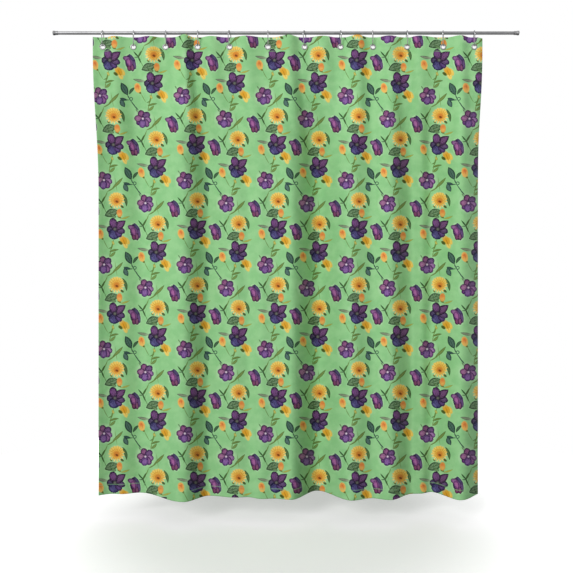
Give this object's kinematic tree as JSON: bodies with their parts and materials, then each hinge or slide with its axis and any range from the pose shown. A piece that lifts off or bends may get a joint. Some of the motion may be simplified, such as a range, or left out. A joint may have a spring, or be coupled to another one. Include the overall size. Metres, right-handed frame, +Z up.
{
  "type": "shower curtain",
  "caption": "Printed fabric shower curtain hanging from wire rings on a slim tube rod between two wall cups; it draws to the left along the rod and swings.",
  "frame": {"origin": "on the rod's axis, halfway between the two walls", "axes": "+Z up, +X along the rod to the right as seen from the front, -Y towards the viewer at the front"},
  "size_m": [1.855, 0.1463, 1.8576],
  "materials": {
    "rod_steel": "satin",
    "cup_chrome": "polished",
    "pad_rubber": "matt",
    "ring_steel": "polished",
    "eyelet_nickel": "polished",
    "printed_cloth": "woven polyester, green ground with a purple and yellow flower print"
  },
  "bodies": {
    "rod": {"rod_tube": "rod_steel", "wall_cup_left": "cup_chrome", "wall_cup_right": "cup_chrome", "wall_pad_left": "pad_rubber", "wall_pad_right": "pad_rubber"},
    "ring_01": {"ring_01": "ring_steel"},
    "ring_02": {"ring_02": "ring_steel"},
    "ring_03": {"ring_03": "ring_steel"},
    "ring_04": {"ring_04": "ring_steel"},
    "ring_05": {"ring_05": "ring_steel"},
    "ring_06": {"ring_06": "ring_steel"},
    "ring_07": {"ring_07": "ring_steel"},
    "ring_08": {"ring_08": "ring_steel"},
    "ring_09": {"ring_09": "ring_steel"},
    "ring_10": {"ring_10": "ring_steel"},
    "ring_11": {"ring_11": "ring_steel"},
    "ring_12": {"ring_12": "ring_steel"},
    "sheet_01": {"cloth_panel_01": "printed_cloth", "grommet_01": "eyelet_nickel", "washer_01": "eyelet_nickel"},
    "sheet_02": {"cloth_panel_02": "printed_cloth", "grommet_02": "eyelet_nickel", "washer_02": "eyelet_nickel"},
    "sheet_03": {"cloth_panel_03": "printed_cloth", "grommet_03": "eyelet_nickel", "washer_03": "eyelet_nickel"},
    "sheet_04": {"cloth_panel_04": "printed_cloth", "grommet_04": "eyelet_nickel", "washer_04": "eyelet_nickel"},
    "sheet_05": {"cloth_panel_05": "printed_cloth", "grommet_05": "eyelet_nickel", "washer_05": "eyelet_nickel"},
    "sheet_06": {"cloth_panel_06": "printed_cloth", "grommet_06": "eyelet_nickel", "washer_06": "eyelet_nickel"},
    "sheet_07": {"cloth_panel_07": "printed_cloth", "grommet_07": "eyelet_nickel", "washer_07": "eyelet_nickel"},
    "sheet_08": {"cloth_panel_08": "printed_cloth", "grommet_08": "eyelet_nickel", "washer_08": "eyelet_nickel"},
    "sheet_09": {"cloth_panel_09": "printed_cloth", "grommet_09": "eyelet_nickel", "washer_09": "eyelet_nickel"},
    "sheet_10": {"cloth_panel_10": "printed_cloth", "grommet_10": "eyelet_nickel", "washer_10": "eyelet_nickel"},
    "sheet_11": {"cloth_panel_11": "printed_cloth", "grommet_11": "eyelet_nickel", "washer_11": "eyelet_nickel"},
    "sheet_12": {"cloth_panel_12": "printed_cloth", "grommet_12": "eyelet_nickel", "washer_12": "eyelet_nickel"}
  },
  "joints": [
    {"name": "slide_01", "type": "slide", "parent": "rod", "child": "ring_01", "axis": [1, 0, 0], "range_m": [-0.13, 0.13]},
    {"name": "draw_02", "type": "slide", "parent": "ring_01", "child": "ring_02", "axis": [-1, 0, 0], "range_m": [0, 0.08837], "deforming": ["cloth_panel_02"]},
    {"name": "draw_03", "type": "slide", "parent": "ring_01", "child": "ring_03", "axis": [-1, 0, 0], "range_m": [0, 0.18057], "deforming": ["cloth_panel_03"]},
    {"name": "draw_04", "type": "slide", "parent": "ring_01", "child": "ring_04", "axis": [-1, 0, 0], "range_m": [0, 0.27276], "deforming": ["cloth_panel_04"]},
    {"name": "draw_05", "type": "slide", "parent": "ring_01", "child": "ring_05", "axis": [-1, 0, 0], "range_m": [0, 0.36424], "deforming": ["cloth_panel_05"]},
    {"name": "draw_06", "type": "slide", "parent": "ring_01", "child": "ring_06", "axis": [-1, 0, 0], "range_m": [0, 0.47444], "deforming": ["cloth_panel_06"]},
    {"name": "draw_07", "type": "slide", "parent": "ring_01", "child": "ring_07", "axis": [-1, 0, 0], "range_m": [0, 0.5796], "deforming": ["cloth_panel_07"]},
    {"name": "draw_08", "type": "slide", "parent": "ring_01", "child": "ring_08", "axis": [-1, 0, 0], "range_m": [0, 0.6826], "deforming": ["cloth_panel_08"]},
    {"name": "draw_09", "type": "slide", "parent": "ring_01", "child": "ring_09", "axis": [-1, 0, 0], "range_m": [0, 0.77551], "deforming": ["cloth_panel_09"]},
    {"name": "draw_10", "type": "slide", "parent": "ring_01", "child": "ring_10", "axis": [-1, 0, 0], "range_m": [0, 0.87347], "deforming": ["cloth_panel_10"]},
    {"name": "draw_11", "type": "slide", "parent": "ring_01", "child": "ring_11", "axis": [-1, 0, 0], "range_m": [0, 0.97719], "deforming": ["cloth_panel_11"]},
    {"name": "draw_12", "type": "slide", "parent": "ring_01", "child": "ring_12", "axis": [-1, 0, 0], "range_m": [0, 1.066], "deforming": ["cloth_panel_12", "cloth_panel_01"]},
    {"name": "swing_01", "type": "hinge", "parent": "ring_01", "child": "sheet_01", "pos_m": [-0.73, 0, -0.0513], "axis": [1, 0, 0], "range_deg": [-12, 12]},
    {"name": "swing_02", "type": "hinge", "parent": "ring_02", "child": "sheet_02", "pos_m": [-0.608, 0, -0.0513], "axis": [1, 0, 0], "range_deg": [-12, 12]},
    {"name": "swing_03", "type": "hinge", "parent": "ring_03", "child": "sheet_03", "pos_m": [-0.48, 0, -0.0513], "axis": [1, 0, 0], "range_deg": [-12, 12]},
    {"name": "swing_04", "type": "hinge", "parent": "ring_04", "child": "sheet_04", "pos_m": [-0.352, 0, -0.0513], "axis": [1, 0, 0], "range_deg": [-12, 12]},
    {"name": "swing_05", "type": "hinge", "parent": "ring_05", "child": "sheet_05", "pos_m": [-0.225, 0, -0.0513], "axis": [1, 0, 0], "range_deg": [-12, 12]},
    {"name": "swing_06", "type": "hinge", "parent": "ring_06", "child": "sheet_06", "pos_m": [-0.072, 0, -0.0513], "axis": [1, 0, 0], "range_deg": [-12, 12]},
    {"name": "swing_07", "type": "hinge", "parent": "ring_07", "child": "sheet_07", "pos_m": [0.074, 0, -0.0513], "axis": [1, 0, 0], "range_deg": [-12, 12]},
    {"name": "swing_08", "type": "hinge", "parent": "ring_08", "child": "sheet_08", "pos_m": [0.217, 0, -0.0513], "axis": [1, 0, 0], "range_deg": [-12, 12]},
    {"name": "swing_09", "type": "hinge", "parent": "ring_09", "child": "sheet_09", "pos_m": [0.346, 0, -0.0513], "axis": [1, 0, 0], "range_deg": [-12, 12]},
    {"name": "swing_10", "type": "hinge", "parent": "ring_10", "child": "sheet_10", "pos_m": [0.482, 0, -0.0513], "axis": [1, 0, 0], "range_deg": [-12, 12]},
    {"name": "swing_11", "type": "hinge", "parent": "ring_11", "child": "sheet_11", "pos_m": [0.626, 0, -0.0513], "axis": [1, 0, 0], "range_deg": [-12, 12]},
    {"name": "swing_12", "type": "hinge", "parent": "ring_12", "child": "sheet_12", "pos_m": [0.75, 0, -0.0513], "axis": [1, 0, 0], "range_deg": [-12, 12]}
  ],
  "couplings": [
    {"joint": "draw_02", "follows": "draw_12", "ratio": 0.082432},
    {"joint": "draw_03", "follows": "draw_12", "ratio": 0.16892},
    {"joint": "draw_04", "follows": "draw_12", "ratio": 0.2554},
    {"joint": "draw_05", "follows": "draw_12", "ratio": 0.34122},
    {"joint": "draw_06", "follows": "draw_12", "ratio": 0.4446},
    {"joint": "draw_07", "follows": "draw_12", "ratio": 0.54324},
    {"joint": "draw_08", "follows": "draw_12", "ratio": 0.63987},
    {"joint": "draw_09", "follows": "draw_12", "ratio": 0.72703},
    {"joint": "draw_10", "follows": "draw_12", "ratio": 0.81892},
    {"joint": "draw_11", "follows": "draw_12", "ratio": 0.91622},
    {"joint": "swing_02", "follows": "swing_01", "ratio": 1},
    {"joint": "swing_03", "follows": "swing_01", "ratio": 1},
    {"joint": "swing_04", "follows": "swing_01", "ratio": 1},
    {"joint": "swing_05", "follows": "swing_01", "ratio": 1},
    {"joint": "swing_06", "follows": "swing_01", "ratio": 1},
    {"joint": "swing_07", "follows": "swing_01", "ratio": 1},
    {"joint": "swing_08", "follows": "swing_01", "ratio": 1},
    {"joint": "swing_09", "follows": "swing_01", "ratio": 1},
    {"joint": "swing_10", "follows": "swing_01", "ratio": 1},
    {"joint": "swing_11", "follows": "swing_01", "ratio": 1},
    {"joint": "swing_12", "follows": "swing_01", "ratio": 1}
  ]
}
